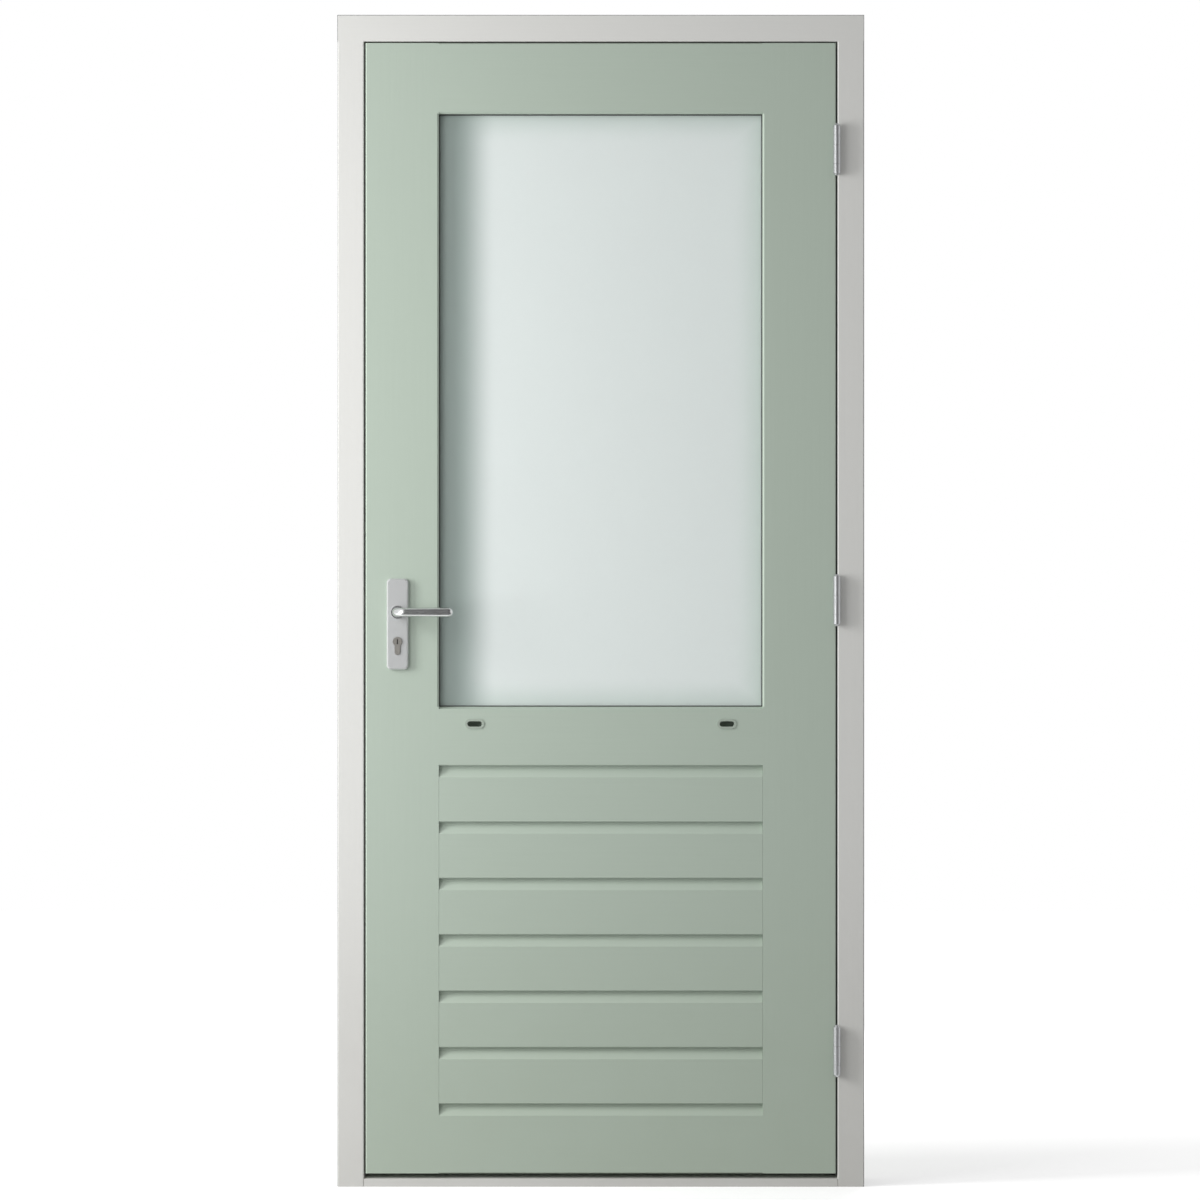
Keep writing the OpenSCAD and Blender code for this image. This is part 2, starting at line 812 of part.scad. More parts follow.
module pane_spacer() {
    color(steel) ring(x_pane - spacer_w, z_pane0 + spacer_w, z_pane1 - spacer_w,
        x_pane, z_pane0, z_pane1, y_cavity, y_pane_in);
}

module gasket(y0) {
    color(rubber_grey) ring(x_sight - gasket_show, z_glass0 + gasket_show, z_glass1 - gasket_show,
        x_sight + gasket_w, z_glass0 - gasket_w, z_glass1 + gasket_w, y0, y0 + gasket_t);
}

module outer_gasket() {
    gasket(y_lip);
}

module inner_gasket() {
    gasket(y_bead_gasket);
}

module setting_blocks() {
    color(rubber_grey) for (s = [-1, 1])
        translate([s * (x_pane - block_in), 0, 0])
            span([-block_l / 2, y_pane_out, z_glass0 - rebate_d], [block_l / 2, y_bead_gasket, z_pane0]);
}

// Section of a bead, drawn from the sight line into the rebate
module bead_section() {
    polygon([[0, y_bead], [rebate_d, y_bead], [rebate_d, y_back], [bead_splay, y_back],
        [0, y_back - bead_splay]]);
}

module bead_right() {
    color(sage) along_z(z_glass0, z_glass1) translate([x_sight, 0]) bead_section();
}

module bead_left() {
    mirror([1, 0, 0]) bead_right();
}

// The section turned to run across, with its depth along Z
module bead_across() {
    x_far = x_sight + rebate_d;
    along_x(-x_far, x_far) mirror([1, -1]) bead_section();
}

module bead_top() {
    color(sage) translate([0, 0, z_glass1]) bead_across();
}

module bead_bottom() {
    color(sage) translate([0, 0, z_glass0]) mirror([0, 0, 1]) bead_across();
}

// Vent inserts that drain the glazing rebate
module vent(s) {
    bore_w = vent_w - 2 * fit - 2 * vent_wall;
    bore_h = vent_h - 2 * fit - 2 * vent_wall;
    color(vent_grey) translate([s * x_vent, 0, z_vent]) difference() {
        union() {
            along_y(y_face - vent_rim_t, y_face) slot_outline(vent_w + 2 * vent_rim, vent_h + 2 * vent_rim);
            along_y(y_face - over / 2, y_face + vent_sleeve) slot_outline(vent_w - 2 * fit, vent_h - 2 * fit);
        }
        along_y(y_face - vent_rim_t - over, y_face + vent_sleeve + over) slot_outline(bore_w, bore_h);
    }
}

// Lock
module case_openings() {
    for (z = [[z_latch0, z_latch1], [z_bolt0, z_bolt1]])
        span([-x_edge - over, y_mid - bolt_t / 2 - bolt_play, z[0] - bolt_play],
            [x_case0 + case_wall + over, y_mid + bolt_t / 2 + bolt_play, z[1] + bolt_play]);
    along_x(-x_edge - over, x_case0 + case_wall + over)
        translate([y_mid, z_cyl_screw]) circle(cyl_screw_r + free);
    along_y(y_case0 - over, y_case1 + over) {
        translate([x_axis, z_axis]) circle(hub_r + run_fit);
        translate([x_axis, z_cyl]) cyl_outline(free);
    }
}

module lock_case() {
    w = case_wall;
    color(steel) difference() {
        span([x_case0, y_case0, z_case0], [x_case1, y_case1 - w, z_case1]);
        span([x_case0 + w, y_case0 + w, z_case0 + w], [x_case1 - w, y_case1, z_case1 - w]);
        case_openings();
    }
}

module lock_cover() {
    color(steel) difference() {
        span([x_case0, y_case1 - case_wall, z_case0], [x_case1, y_case1, z_case1]);
        case_openings();
    }
}

module forend_screw_set() {
    for (z = [z_forend0 + strike_screw_in, z_forend1 - strike_screw_in])
        translate([-x_edge, y_mid, z]) children();
}

module forend() {
    color(steel) difference() {
        span([-x_edge, y_mid - forend_w / 2, z_forend0], [x_case0, y_mid + forend_w / 2, z_forend1]);
        case_openings();
        forend_screw_set() screw(screw_fit);
    }
}

module forend_screws() {
    color(steel) forend_screw_set() screw();
}

module follower() {
    color(steel) difference() {
        union() {
            along_y(y_case0, y_case1) translate([x_axis, z_axis]) circle(hub_r);
            span([x_axis - arm_w / 2, y_mid - arm_t / 2, z_axis],
                [x_axis + arm_w / 2, y_mid + arm_t / 2, z_axis + arm_l]);
        }
        spindle_bar(spindle_fit, over);
    }
}

// The square bar, grown sideways for its holes and lengthened to cut through
module spindle_bar(grow, longer) {
    s = spindle_w / 2 + grow;
    span([x_axis - s, y_plate_out - spindle_in - longer, z_axis - s],
        [x_axis + s, y_plate_in + spindle_in + longer, z_axis + s]);
}

module spindle() {
    color(steel) spindle_bar(0, 0);
}

// The latch, bevelled on its inner side, with a tail that hooks behind the follower's arm
module latch_bolt() {
    x_tip = -x_edge - latch_throw;
    x_body = x_axis - latch_body_end;
    x_hook = x_axis + arm_w / 2 + hook_gap;
    y0 = y_mid - bolt_t / 2;
    y1 = y_mid + bolt_t / 2;
    color(nickel) union() {
        along_z(z_latch0, z_latch1)
            polygon([[x_tip, y0], [x_body, y0], [x_body, y1], [-x_edge, y1], [x_tip, y0 + latch_tip]]);
        span([x_body - over, y_mid - arm_t / 2, z_tail], [x_hook + hook_t, y_mid + arm_t / 2, z_tail + tail_h]);
        span([x_hook, y_mid - arm_t / 2, z_axis + hook_foot],
            [x_hook + hook_t, y_mid + arm_t / 2, z_tail + over]);
    }
}

// The dead bolt, drawn back flush with the forend
module dead_bolt() {
    x_body = -x_edge + bolt_body_l;
    color(nickel) union() {
        span([-x_edge, y_mid - bolt_t / 2, z_bolt0], [x_body, y_mid + bolt_t / 2, z_bolt1]);
        span([x_body - over, y_mid - bolt_tail_t / 2, z_bolt0],
            [x_body + bolt_tail_l, y_mid + bolt_tail_t / 2, z_bolt1]);
    }
}

// Cylinder
// Outline of a profile cylinder about its plug's axis
module cyl_outline(grow) {
    circle(cyl_r + grow);
    translate([-cyl_stem_w / 2 - grow, -cyl_stem_h]) square([cyl_stem_w + 2 * grow, cyl_stem_h]);
    translate([0, -cyl_stem_h]) circle(cyl_stem_w / 2 + grow);
}

module cylinder_body() {
    color(nickel) difference() {
        along_y(y_cyl0, y_cyl1) translate([x_axis, z_cyl]) cyl_outline(0);
        along_y(y_cyl0 - over, y_cyl1 + over) translate([x_axis, z_cyl]) circle(plug_r + run_fit);
        span([x_axis - cyl_r - over, y_mid - cam_w / 2 - free, z_cyl - cam_reach - cam_room],
            [x_axis + cyl_r + over, y_mid + cam_w / 2 + free, z_cyl + cyl_r + over]);
        along_x(x_axis - cyl_r, x_axis + cyl_r) translate([y_mid, z_cyl_screw]) circle(cyl_screw_r + screw_fit);
    }
}

module cylinder_screw() {
    color(steel) along_x(-x_edge + forend_t / 2, x_axis + cyl_stem_w / 2)
        translate([y_mid, z_cyl_screw]) circle(cyl_screw_r);
}

module cylinder_plug() {
    color(nickel) difference() {
        along_y(y_cyl0, y_mid) translate([x_axis, z_cyl]) circle(plug_r);
        span([x_axis - key_w / 2, y_cyl0 - over, z_cyl - key_h / 2],
            [x_axis + key_w / 2, y_cyl0 + key_d, z_cyl + key_h / 2]);
    }
}

module cylinder_cam() {
    color(steel) along_y(y_mid - cam_w / 2, y_mid + cam_w / 2) translate([x_axis, z_cyl]) difference() {
        union() {
            circle(cam_hub_r);
            translate([-cam_lug_w / 2, -cam_reach]) square([cam_lug_w, cam_reach]);
        }
        circle(plug_r);
    }
}

module thumb_turn() {
    y_collar = y_cyl1 + free;
    color(nickel) translate([x_axis, 0, z_cyl]) union() {
        along_y(y_mid, y_collar + over) circle(plug_r);
        along_y(y_collar, y_collar + turn_collar_h) circle(turn_r);
        along_y(y_collar + turn_collar_h - over, y_collar + turn_l) rotate(90) slot_outline(turn_w, turn_t);
    }
}

// Handle
// A backplate on the outside face, with its bevelled front
module plate_blank() {
    y_bevel = y_plate_out + plate_bevel;
    thin = 0.01;
    difference() {
        translate([x_axis, 0, z_plate]) union() {
            along_y(y_bevel, y_face) round_rect(plate_w, plate_h, plate_r);
            hull() {
                along_y(y_bevel, y_bevel + thin) round_rect(plate_w, plate_h, plate_r, $fn = 32);
                along_y(y_plate_out, y_plate_out + thin)
                    round_rect(plate_w - 2 * plate_bevel, plate_h - 2 * plate_bevel,
                        plate_r - plate_bevel, $fn = 32);
            }
        }
        along_y(y_plate_out - over, y_face + over) {
            translate([x_axis, z_axis]) circle(neck_r + run_fit);
            translate([x_axis, z_cyl]) cyl_outline(free);
        }
    }
}

module outer_plate() {
    color(silver) difference() {
        plate_blank();
        for (z = plate_bolt_z) along_y(y_plate_out + plate_t / 3, y_face + over)
            translate([x_axis, z]) circle(bolt_r + screw_fit);
    }
}

module inner_plate() {
    color(silver) difference() {
        inside() plate_blank();
        for (z = plate_bolt_z) translate([x_axis, y_plate_in, z]) rotate([90, 0, 0]) {
            translate([0, 0, -over]) cylinder(h = plate_t + 2 * over, r = bolt_r + screw_fit);
            cylinder(h = plate_t / 2, r1 = 2 * bolt_r + screw_fit, r2 = bolt_r + screw_fit);
        }
    }
}

module plate_bolts() {
    color(steel) for (z = plate_bolt_z) translate([x_axis, y_plate_in, z]) rotate([90, 0, 0]) {
        cylinder(h = y_plate_in - y_plate_out - plate_t / 3, r = bolt_r);
        cylinder(h = plate_t / 2, r1 = 2 * bolt_r, r2 = bolt_r);
    }
}

// Neck, bend and grip, with a square socket for the spindle
module lever() {
    y_bend = y_grip + bend_r;
    difference() {
        union() {
            along_y(y_bend, y_face - plate_t / 3) translate([x_axis, z_axis]) circle(neck_r);
            along_y(y_plate_out - free - collar_h, y_plate_out - free)
                translate([x_axis, z_axis]) circle(collar_r);
            translate([x_axis + bend_r, y_bend, z_axis]) rotate(180)
                rotate_extrude(angle = 90) translate([bend_r, 0]) circle(neck_r);
            translate([x_axis + bend_r, y_grip, z_axis]) rotate([0, 90, 0])
                cylinder(h = lever_l - bend_r - grip_r, r1 = neck_r, r2 = grip_r);
            translate([x_axis + lever_l - grip_r, y_grip, z_axis]) sphere(grip_r);
        }
        spindle_bar(spindle_fit, spindle_fit);
    }
}

module outer_lever() {
    color(silver) lever();
}

module inner_lever() {
    color(silver) inside() lever();
}

hinge_jamb();
lock_jamb();
head();
threshold();
weather_seal();
strike_plate();
strike_screws();
for (i = [1:3]) frame_hinge_plate(i);
hinge_pins();
frame_hinge_screws();
lock_stile();
hinge_stile();
top_rail();
mid_rail();
bottom_rail();
for (i = [1:board_count]) board(i);
outer_pane();
inner_pane();
pane_spacer();
outer_gasket();
inner_gasket();
setting_blocks();
bead_top();
bead_bottom();
bead_left();
bead_right();
vent(-1);  // vent_left
vent(1);  // vent_right
lock_case();
lock_cover();
forend();
forend_screws();
cylinder_body();
cylinder_screw();
outer_plate();
inner_plate();
plate_bolts();
for (i = [1:3]) leaf_hinge_plate(i);
leaf_hinge_screws();
outer_lever();
inner_lever();
spindle();
follower();
latch_bolt();
dead_bolt();
cylinder_plug();
cylinder_cam();
thumb_turn();
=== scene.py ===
# %% [markdown]
# # A half-glazed boarded door in its frame
#
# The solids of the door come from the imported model: timbers, panes, lock and hinges at their real sizes.
# Nothing here moves or resizes them. This lesson gives each piece its finish, adds the small shapes that a
# finish alone can't give, and sets up the plain studio in which the door is seen from the front.

from math import cos, radians

import bmesh
import bpy
from mathutils import Matrix, Vector


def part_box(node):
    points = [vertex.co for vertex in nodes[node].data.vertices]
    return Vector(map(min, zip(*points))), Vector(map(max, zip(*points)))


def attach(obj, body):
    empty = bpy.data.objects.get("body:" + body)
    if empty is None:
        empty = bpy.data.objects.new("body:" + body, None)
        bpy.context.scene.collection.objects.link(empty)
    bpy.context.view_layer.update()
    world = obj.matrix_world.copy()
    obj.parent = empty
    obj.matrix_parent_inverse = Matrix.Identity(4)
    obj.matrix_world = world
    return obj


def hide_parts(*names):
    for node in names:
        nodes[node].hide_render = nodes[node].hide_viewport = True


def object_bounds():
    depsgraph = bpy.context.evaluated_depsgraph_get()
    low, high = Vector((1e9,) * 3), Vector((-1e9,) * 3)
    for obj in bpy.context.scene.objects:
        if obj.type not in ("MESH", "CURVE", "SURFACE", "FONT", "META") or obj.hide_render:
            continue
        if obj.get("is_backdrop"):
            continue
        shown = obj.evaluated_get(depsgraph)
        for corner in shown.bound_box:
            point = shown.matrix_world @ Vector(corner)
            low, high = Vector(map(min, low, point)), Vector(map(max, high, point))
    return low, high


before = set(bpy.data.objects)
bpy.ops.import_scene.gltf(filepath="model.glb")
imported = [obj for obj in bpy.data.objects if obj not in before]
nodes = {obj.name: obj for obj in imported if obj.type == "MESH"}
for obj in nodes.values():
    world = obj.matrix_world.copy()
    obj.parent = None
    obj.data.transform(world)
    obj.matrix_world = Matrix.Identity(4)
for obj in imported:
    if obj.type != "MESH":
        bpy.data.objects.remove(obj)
cad_low, cad_high = (Vector(corner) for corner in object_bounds())
print("loaded", len(nodes), "pieces, overall", [round(v, 3) for v in cad_high - cad_low])

# %% [markdown]
# ## Camera
#
# The door was photographed square on, from far enough away that no edge leans. A long lens eight metres
# away gives the same flat view. The lens is worked out so that the frame fills the picture from top to
# bottom as the door does in the photograph, and the camera stands level with the middle of the picture.

# %% Place the camera
PICTURE_PX = 1200
OBJECT_TOP_PX = 14.7
OBJECT_BOTTOM_PX = 1186.8
OBJECT_MIDDLE_PX = 600.75
CAMERA_DISTANCE = 8.0
SENSOR_MM = 36.0
LEVEL_VIEW = radians(90)

face_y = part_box("lock_stile")[0][1]
metres_per_px = (cad_high.z - cad_low.z) / (OBJECT_BOTTOM_PX - OBJECT_TOP_PX)
eye_x = (PICTURE_PX / 2 - OBJECT_MIDDLE_PX) * metres_per_px
eye_z = cad_high.z - (PICTURE_PX / 2 - OBJECT_TOP_PX) * metres_per_px

camera_data = bpy.data.cameras.new("front_camera")
camera_data.sensor_width = SENSOR_MM
camera_data.lens = SENSOR_MM * CAMERA_DISTANCE / (PICTURE_PX * metres_per_px)
camera = bpy.data.objects.new("front_camera", camera_data)
camera.location = (eye_x, face_y - CAMERA_DISTANCE, eye_z)
camera.rotation_euler = (LEVEL_VIEW, 0, 0)
bpy.context.scene.collection.objects.link(camera)
bpy.context.scene.camera = camera
bpy.context.scene.view_settings.view_transform = "Standard"
print("camera lens", round(camera_data.lens, 1), "mm at height", round(eye_z, 3))

# %% [markdown]
# ## Node helpers
#
# Every finish below is a small graph of shader nodes. In the editor you would add a node, type its values
# and drag wires to its sockets. Here one helper adds a node and feeds its sockets by name. What it gets for
# a socket may be the output of another node, which is wired, or a plain value, which is typed in.

# %% Define the node helpers
def connect(tree, value, socket):
    """Links an output to a socket, or writes a plain value on it."""
    if isinstance(value, bpy.types.NodeSocket):
        tree.links.new(value, socket)
    else:
        socket.default_value = value


def feed(tree, node, **inputs):
    """Connects a node's sockets by name, with _ for each space in the name."""
    for name, value in inputs.items():
        connect(tree, value, node.inputs[name.replace("_", " ")])


def add_node(tree, kind, label, settings=None, **inputs):
    """A new node, with its attributes from settings and its sockets from inputs."""
    node = tree.nodes.new(kind)
    node.label = label
    for key, value in (settings or {}).items():
        setattr(node, key, value)
    feed(tree, node, **inputs)
    return node


def new_tree(name):
    """A material with an empty node tree, and the shader and output every material ends with."""
    material = bpy.data.materials.new(name)
    material.use_nodes = True
    tree = material.node_tree
    tree.nodes.clear()
    shader = add_node(tree, "ShaderNodeBsdfPrincipled", "surface")
    add_node(tree, "ShaderNodeOutputMaterial", "output", Surface=shader.outputs["BSDF"])
    return material, tree, shader


print("node helpers ready")

# %% [markdown]
# Two kinds of node come back so often that they get helpers of their own: sums with numbers, and the
# carrying of a number from one range to another, evenly or with soft ends.

# %% Define the number helpers
def compute(tree, label, operation, *values, clamp=False):
    """The result of a Math node."""
    node = add_node(tree, "ShaderNodeMath", label, {"operation": operation, "use_clamp": clamp})
    for value, socket in zip(values, node.inputs):
        connect(tree, value, socket)
    return node.outputs["Value"]


def carry(tree, label, value, soft=False, **ranges):
    """A value carried from one range to another by a Map Range node."""
    settings = {"interpolation_type": "SMOOTHSTEP" if soft else "LINEAR"}
    return add_node(tree, "ShaderNodeMapRange", label, settings, Value=value, **ranges).outputs["Result"]


print("number helpers ready")

# %% [markdown]
# ## Studio
#
# The background of the photograph is pure white, and the light on the door is soft and comes from the left.
# A white world would light the door from everywhere alike, so the world is white only to the camera, to
# reflections and through glass, and dimmer as a light.

# %% Set the world
WHITE = (1, 1, 1, 1)
BACKDROP_SEEN = 1.0
AMBIENT = 0.48


def seen_directly(tree):
    """One for rays from the camera, from reflections and through glass, and nought for light."""
    path = add_node(tree, "ShaderNodeLightPath", "which ray asks")
    seen = path.outputs["Is Camera Ray"]
    for other in ("Is Glossy Ray", "Is Transmission Ray"):
        seen = compute(tree, "either", "MAXIMUM", seen, path.outputs[other])
    return seen


world = bpy.data.worlds.new("studio")
bpy.context.scene.world = world
world.use_nodes = True
tree = world.node_tree
tree.nodes.clear()
strength = carry(tree, "strength", seen_directly(tree), To_Min=AMBIENT, To_Max=BACKDROP_SEEN)
backdrop = add_node(tree, "ShaderNodeBackground", "white backdrop", Color=WHITE, Strength=strength)
add_node(tree, "ShaderNodeOutputWorld", "world", Surface=backdrop.outputs["Background"])
print("world lights at", AMBIENT)

# %% [markdown]
# Two tall lamps then light it from the left. The far one stands low over the plane of the door, as a side
# window does, and lays a soft shadow beside the left edge of the pane. The near one stands further out, and
# its light falls off quickly from the lock side to the hinge side. Neither is strong: a leaf that swings
# open turns its whole face to them, and must not burn out to white. A third lamp stands in the room behind
# the door, so that the inside of the door and of the frame can be read as well. The images of the far lamp
# and the room lamp would burn out on the glass, the hinges and the levers, so reflections see only the near
# one.

# %% Hang the lamps
LAMP_AIM = Vector((0, face_y, 1.1))
LAMP_HEIGHT = 2.0
LAMPS = {
    "window": {"at": Vector((-2.9, -1.0, 1.65)), "width": 0.8, "power": 84.0, "mirrored": False},
    "softbox": {"at": Vector((-1.6, -1.6, 1.45)), "width": 0.9, "power": 16.0, "mirrored": True},
    "room_lamp": {"at": Vector((1.0, 2.6, 1.5)), "width": 1.4, "power": 28.0, "mirrored": False},
}

for name, lamp in LAMPS.items():
    light = bpy.data.lights.new(name, "AREA")
    light.shape = "RECTANGLE"
    light.size = lamp["width"]
    light.size_y = LAMP_HEIGHT
    light.energy = lamp["power"]
    holder = bpy.data.objects.new(name, light)
    holder.location = lamp["at"]
    holder.rotation_euler = (LAMP_AIM - lamp["at"]).to_track_quat("-Z", "Y").to_euler()
    holder.visible_camera = False
    holder.visible_glossy = lamp["mirrored"]
    holder.visible_transmission = lamp["mirrored"]
    bpy.context.scene.collection.objects.link(holder)
    print("lamp", name, "of", lamp["power"], "W")

# %% [markdown]
# The floor is the first thing here with a shape and a blended colour of its own. The Mix node has sockets of
# the same name for numbers, vectors and colours, so the helper for colours picks them by their places. The
# other helper turns a finished bmesh into an object with its material.

# %% Define the colour and object helpers
MIX_SOCKETS = {"factor": 0, "first colour": 6, "second colour": 7, "result": 2}


def mix_colours(tree, label, factor, first, second):
    """A blend of two colours, each of them a plain colour or an output."""
    mix = add_node(tree, "ShaderNodeMix", label, {"data_type": "RGBA"})
    connect(tree, factor, mix.inputs[MIX_SOCKETS["factor"]])
    connect(tree, first, mix.inputs[MIX_SOCKETS["first colour"]])
    connect(tree, second, mix.inputs[MIX_SOCKETS["second colour"]])
    return mix.outputs[MIX_SOCKETS["result"]]


def make_object(shape, name, material):
    """Turns a bmesh into an object of the scene with one material."""
    mesh = bpy.data.meshes.new(name)
    shape.to_mesh(mesh)
    shape.free()
    mesh.materials.append(material)
    made = bpy.data.objects.new(name, mesh)
    bpy.context.scene.collection.objects.link(made)
    return made


print("colour and object helpers ready")

# %% [markdown]
# The floor is a plain pale sheet. To the camera it gives off a little of its own light, and more of it
# further from the door, so that it runs into the white of the background without a visible edge, while the
# shadow of the door still darkens it. As a source of bounced light it is darker, or it would brighten the
# foot of the door. Both its colour and its glow therefore ask which kind of ray is looking.

# %% Lay the floor
FLOOR_SIZE = 14.0
FLOOR_SEEN = (0.85, 0.85, 0.85, 1)
FLOOR_BOUNCE = (0.42, 0.42, 0.42, 1)
FLOOR_ROUGHNESS = 0.9
FLOOR_LIFT_NEAR = 0.34
FLOOR_LIFT_FAR = 0.63
FLOOR_NEAR = 0.8
FLOOR_FAR = 4.0

floor_material, tree, shader = new_tree("studio_floor")
seen = seen_directly(tree)
where = add_node(tree, "ShaderNodeTexCoord", "where on the floor")
away = add_node(tree, "ShaderNodeVectorMath", "from the door", {"operation": "LENGTH"},
                Vector=where.outputs["Object"])
lift = carry(tree, "more further out", away.outputs["Value"], From_Min=FLOOR_NEAR, From_Max=FLOOR_FAR,
             To_Min=FLOOR_LIFT_NEAR, To_Max=FLOOR_LIFT_FAR)
feed(tree, shader,
     Base_Color=mix_colours(tree, "bounced or seen", seen, FLOOR_BOUNCE, FLOOR_SEEN),
     Roughness=FLOOR_ROUGHNESS,
     Specular_IOR_Level=0.0,
     Emission_Color=WHITE,
     Emission_Strength=compute(tree, "lift to white", "MULTIPLY", seen, lift))

shape = bmesh.new()
bmesh.ops.create_grid(shape, x_segments=1, y_segments=1, size=FLOOR_SIZE / 2)
make_object(shape, "floor", floor_material)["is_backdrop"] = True
print("floor of", FLOOR_SIZE, "m")

# %% [markdown]
# In an all-white room metal has nothing to show, and a polished lever looks like white plastic. The lever
# in the photograph is bright where it faces the window and dark where it faces away from it. A dark card on
# either side of the door, bent at the floor and overhead and seen only by reflections, gives the metal
# something to mirror without taking light off the door. Each card grows from its near edge on the floor by
# three extrusions.

# %% Bend the dark cards
CARD_LEFT = -1.1
CARD_RIGHT = 3.4
CARD_NEAR = 0.6
CARD_FAR = 3.2
CARD_TOP = 4.2
CARD_FOOT = 0.004
CARD_COLOUR = (0.20, 0.20, 0.20, 1)
CARD_ROUGHNESS = 1.0
OUTSIDE, INSIDE = -1, 1

card_material, tree, shader = new_tree("dark_card")
feed(tree, shader, Base_Color=CARD_COLOUR, Roughness=CARD_ROUGHNESS)


def bend_card(name, side):
    """A card on one side of the door, which only reflections see."""
    shape = bmesh.new()
    corners = [(x, side * CARD_NEAR, CARD_FOOT) for x in (CARD_LEFT, CARD_RIGHT)]
    rim = shape.edges.new([shape.verts.new(corner) for corner in corners])
    out = Vector((0, side * (CARD_FAR - CARD_NEAR), 0))
    up = Vector((0, 0, CARD_TOP - CARD_FOOT))
    for reach in (out, up, -out):
        grown = bmesh.ops.extrude_edge_only(shape, edges=[rim])["geom"]
        moved = [item for item in grown if isinstance(item, bmesh.types.BMVert)]
        edges = [item for item in grown if isinstance(item, bmesh.types.BMEdge)]
        rim = next(edge for edge in edges if set(edge.verts) == set(moved))
        bmesh.ops.translate(shape, vec=reach, verts=moved)
    card = make_object(shape, name, card_material)
    card.visible_camera = False
    card.visible_diffuse = False
    card.visible_transmission = False
    card.visible_shadow = False
    card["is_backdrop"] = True


bend_card("front_card", OUTSIDE)
bend_card("room_card", INSIDE)
print("dark cards from", CARD_NEAR, "to", CARD_FAR, "m off the door, and up to", CARD_TOP, "m")

# %% [markdown]
# ## Shared effects
#
# Painted timber is never quite even. The brush leaves fine streaks along the grain, the film is thicker in
# some places than in others, and its gloss follows both. A node group makes these things from noises: one
# is drawn out along the timber by the Mapping node of each material, and the others aren't. The paint is
# also darkened in patches towards the floor, as painted shade for the dimmer light low on the door. First
# come a helper for groups and one for noises.

# %% Define the group helpers
COLOUR, NUMBER, VECTOR = "NodeSocketColor", "NodeSocketFloat", "NodeSocketVector"


def new_group(name, inputs, outputs):
    """A shader group with the named sockets, what its start node gives, and its end node."""
    group = bpy.data.node_groups.new(name, "ShaderNodeTree")
    for label, kind in inputs.items():
        group.interface.new_socket(name=label, in_out="INPUT", socket_type=kind)
    for label, kind in outputs.items():
        group.interface.new_socket(name=label, in_out="OUTPUT", socket_type=kind)
    return group, group.nodes.new("NodeGroupInput").outputs, group.nodes.new("NodeGroupOutput")


def noise(tree, label, place, **settings):
    """The value of a noise at a place."""
    return add_node(tree, "ShaderNodeTexNoise", label, Vector=place, **settings).outputs["Fac"]


print("group helpers ready")

# %% [markdown]
# The streaks and the clouds together say how thick the film is. Where it is thin the colour is duller and
# the gloss lower. A very fine noise adds the skin that a roller or brush leaves.

# %% Build the brushed paint group
CLOUDS_PER_M = 2.6
CLOUD_SHARE = 0.65
SKIN_PER_M = 520.0
SKIN_SHARE = 0.28
BLOTCH_LOW, BLOTCH_HIGH = 0.45, 1.2
PAINT_SMOOTH, PAINT_ROUGH = 0.36, 0.54
# These numbers shape the painted shade near the floor: a patchy darkening up to this height.
FOOT_SHADE_TOP = 0.75
FOOT_SHADE_PATCHES_PER_M = 7.0
FOOT_SHADE_LOW, FOOT_SHADE_HIGH = 0.25, 0.65
FOOT_SHADE_LEAST = 0.55

paint_group, given, end = new_group(
    "brushed_paint",
    {"Drawn": VECTOR, "Place": VECTOR, "Film": COLOUR, "Thin Film": COLOUR, "Splashed": COLOUR,
     "Unevenness": NUMBER},
    {"Colour": COLOUR, "Roughness": NUMBER, "Height": NUMBER},
)
tree, place = paint_group, given["Place"]
streaks = noise(tree, "brush streaks", given["Drawn"], Scale=1.0, Detail=5.0, Roughness=0.6)
clouds = noise(tree, "film thickness", place, Scale=CLOUDS_PER_M, Detail=3.0)
skin = noise(tree, "fine skin", place, Scale=SKIN_PER_M, Detail=1.0)
blotch = compute(tree, "streaks and clouds", "MULTIPLY_ADD", clouds, CLOUD_SHARE, streaks)
uneven = compute(tree, "how uneven", "MULTIPLY", blotch, given["Unevenness"], clamp=True)
film = mix_colours(tree, "film colour", uneven, given["Film"], given["Thin Film"])

# Towards the floor the colour is mixed in patches to a darker one: painted shade for the dimmer light low on
# the door.
apart = add_node(tree, "ShaderNodeSeparateXYZ", "height above the floor", Vector=place)
low_down = carry(tree, "near the floor", apart.outputs["Z"], soft=True, From_Min=FOOT_SHADE_TOP, From_Max=0.0)
spots = noise(tree, "splash marks", place, Scale=FOOT_SHADE_PATCHES_PER_M, Detail=6.0, Roughness=0.65)
patchy = carry(tree, "patchy", spots, From_Min=FOOT_SHADE_LOW, From_Max=FOOT_SHADE_HIGH, To_Min=FOOT_SHADE_LEAST)
splash = compute(tree, "splash", "MULTIPLY", low_down, patchy)
feed(tree, end,
     Colour=mix_colours(tree, "weathered", splash, film, given["Splashed"]),
     Roughness=carry(tree, "gloss follows", blotch, From_Min=BLOTCH_LOW, From_Max=BLOTCH_HIGH,
                     To_Min=PAINT_SMOOTH, To_Max=PAINT_ROUGH),
     Height=compute(tree, "relief", "MULTIPLY_ADD", skin, SKIN_SHARE, streaks))
print("paint group has", len(paint_group.nodes), "nodes")

# %% [markdown]
# Metal that has been drawn, rolled or brushed carries hair lines along one direction, and metal that is
# handled carries faint smears. Both are again noises, so one group serves the steel, the aluminium and the
# nickel.

# %% Build the brushed metal group
SMEARS_PER_M = 38.0
HAIR_SHARE = 0.5
SMEAR_SHARE = 0.5
DULL_LOW, DULL_HIGH = 0.3, 0.7

